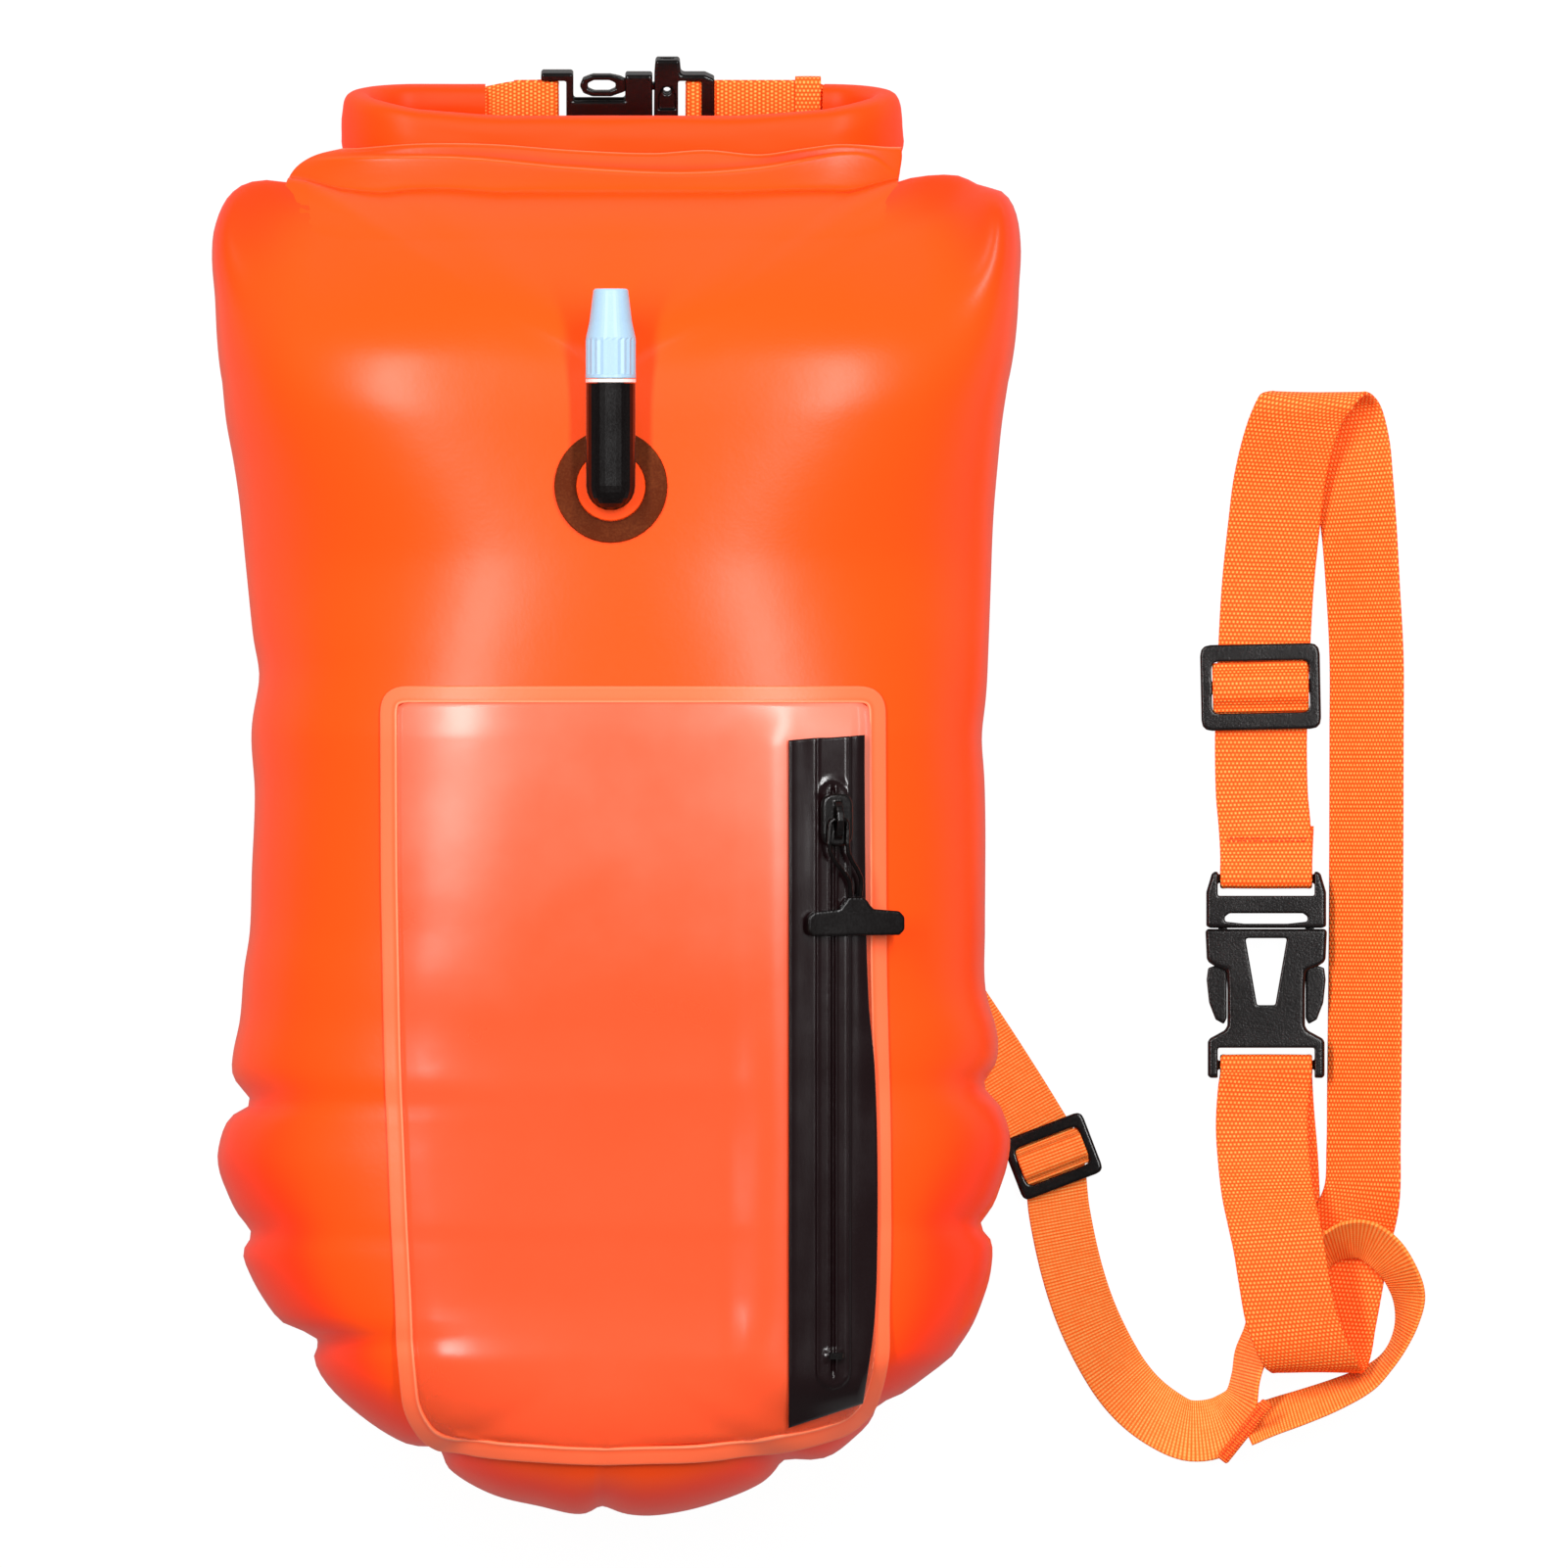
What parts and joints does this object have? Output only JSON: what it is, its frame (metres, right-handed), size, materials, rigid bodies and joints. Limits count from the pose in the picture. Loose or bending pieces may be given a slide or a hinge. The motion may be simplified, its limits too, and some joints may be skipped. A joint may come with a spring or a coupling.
{
  "type": "open water swim buoy",
  "caption": "Inflatable swim buoy and dry bag with a roll top, a clear zipped phone pocket, a tilting air valve, a tow strap and a quick-release waist belt.",
  "frame": {"origin": "middle of the bag's footprint, on the surface that the bag lies on; the tow strap and belt are left out of it", "axes": "+Y up the bag towards its roll top, +X towards the belt, +Z out of the face with the valve and pocket"},
  "size_m": [0.3938, 0.4732, 0.168],
  "materials": {
    "bag_film": "satin coated film",
    "pocket_film": "clear tinted film",
    "webbing": "woven webbing",
    "black_plastic": "fine moulded grain",
    "black_rubber": "smooth, glossy",
    "brown_rubber": "smooth",
    "white_plastic": "smooth",
    "blue_plastic": "smooth, fluted"
  },
  "bodies": {
    "bag": {"front_chamber": "bag_film", "back_chamber": "bag_film", "perimeter_weld": "bag_film", "dry_bag_front_panel": "bag_film", "dry_bag_back_panel": "bag_film", "neck_collar": "bag_film", "rolled_top": "bag_film", "roll_stiffener": "black_plastic", "closure_webbing_left": "webbing", "closure_webbing_right": "webbing", "whistle_socket": "black_plastic", "pocket_rim": "pocket_film", "pocket_window": "pocket_film", "zipper_tape": "black_rubber", "zipper_lip_left": "black_rubber", "zipper_lip_right": "black_rubber", "zipper_garage": "black_rubber", "zipper_stop": "black_plastic", "valve_flange": "brown_rubber", "valve_seat": "bag_film", "tow_patch": "bag_film", "tow_tab": "webbing", "tow_webbing": "webbing", "tow_end_fold": "webbing", "belt_webbing": "webbing", "belt_plug": "black_plastic"},
    "keeper": {"webbing_keeper": "webbing"},
    "whistle_plug_body": {"whistle_plug": "black_plastic"},
    "whistle_arm_left_body": {"whistle_arm_left": "black_plastic"},
    "whistle_arm_right_body": {"whistle_arm_right": "black_plastic"},
    "zipper_slider_body": {"zipper_slider": "black_plastic"},
    "zipper_pull_body": {"zipper_pull_cord": "black_rubber", "zipper_pull_tee": "black_rubber"},
    "valve_tube_body": {"valve_tube": "black_rubber", "valve_stem": "white_plastic"},
    "valve_cap_body": {"valve_cap": "blue_plastic"},
    "tow_ring_body": {"tow_ring": "black_plastic"},
    "tow_slider_body": {"tow_slider": "black_plastic", "tow_slider_loop": "webbing"},
    "belt_slider_body": {"belt_slider": "black_plastic", "belt_slider_loop": "webbing"},
    "belt_arm_left_body": {"belt_arm_left": "black_plastic"},
    "belt_arm_right_body": {"belt_arm_right": "black_plastic"},
    "belt_socket_body": {"belt_socket": "black_plastic", "belt_webbing_lower": "webbing"}
  },
  "joints": [
    {"name": "valve_tube_tilt", "type": "hinge", "parent": "bag", "child": "valve_tube_body", "pos_m": [-0.0017, 0.096, 0.15991], "axis": [1, 0, 0], "range_deg": [0, 88]},
    {"name": "valve_cap_turn", "type": "hinge", "parent": "valve_tube_body", "child": "valve_cap_body", "pos_m": [-0.0017, 0.14, 0.15991], "axis": [0, 1, 0], "range_deg": [0, 120]},
    {"name": "zipper_slide", "type": "slide", "parent": "bag", "child": "zipper_slider_body", "axis": [0, -0.999, -0.0444], "range_m": [0, 0.155]},
    {"name": "zipper_pull_swing", "type": "hinge", "parent": "zipper_slider_body", "child": "zipper_pull_body", "pos_m": [0.07164, -0.01141, 0.15063], "axis": [-0.9613, -0.0122, 0.2751], "range_deg": [0, 85]},
    {"name": "whistle_plug_slide", "type": "slide", "parent": "bag", "child": "whistle_plug_body", "axis": [1, 0, 0], "range_m": [0, 0.0215], "deforming": ["closure_webbing_right", "whistle_arm_left", "whistle_arm_right"]},
    {"name": "whistle_arm_right_pinch", "type": "hinge", "parent": "whistle_plug_body", "child": "whistle_arm_right_body", "pos_m": [0.0113, 0.22693, 0.03741], "axis": [0, -0.225, 0.9744], "range_deg": [0, 8], "stiffness_Nm_per_rad": 0.2},
    {"name": "whistle_arm_left_pinch", "type": "hinge", "parent": "whistle_plug_body", "child": "whistle_arm_left_body", "pos_m": [0.0113, 0.20607, 0.03259], "axis": [0, -0.225, 0.9744], "range_deg": [-8, 0]},
    {"name": "keeper_slide", "type": "slide", "parent": "bag", "child": "keeper", "axis": [-1, 0, 0], "range_m": [0, 0.004]},
    {"name": "tow_ring_swing", "type": "hinge", "parent": "bag", "child": "tow_ring_body", "pos_m": [0.091, -0.044, 0.0042], "axis": [-0.809, -0.5878, 0], "range_deg": [0, 11], "deforming": ["tow_webbing"]},
    {"name": "tow_slider_slide", "type": "slide", "parent": "bag", "child": "tow_slider_body", "axis": [-0.3584, 0.9336, 0], "range_m": [-0.008, 0.01]},
    {"name": "belt_slider_slide", "type": "slide", "parent": "bag", "child": "belt_slider_body", "axis": [-0.0209, 0.9998, 0], "range_m": [-0.022, 0.004]},
    {"name": "belt_socket_slide", "type": "slide", "parent": "bag", "child": "belt_socket_body", "axis": [0, -1, 0], "range_m": [0, 0.033], "deforming": ["belt_webbing_lower", "belt_arm_left", "belt_arm_right"]},
    {"name": "belt_arm_right_pinch", "type": "hinge", "parent": "bag", "child": "belt_arm_right_body", "pos_m": [0.1969, -0.047, 0.0049], "axis": [0, 0, 1], "range_deg": [0, 7], "stiffness_Nm_per_rad": 0.5},
    {"name": "belt_arm_left_pinch", "type": "hinge", "parent": "bag", "child": "belt_arm_left_body", "pos_m": [0.2251, -0.047, 0.0049], "axis": [0, 0, 1], "range_deg": [-7, 0]}
  ],
  "couplings": [
    {"joint": "whistle_arm_left_pinch", "follows": "whistle_arm_right_pinch", "ratio": -1},
    {"joint": "belt_arm_left_pinch", "follows": "belt_arm_right_pinch", "ratio": -1}
  ]
}
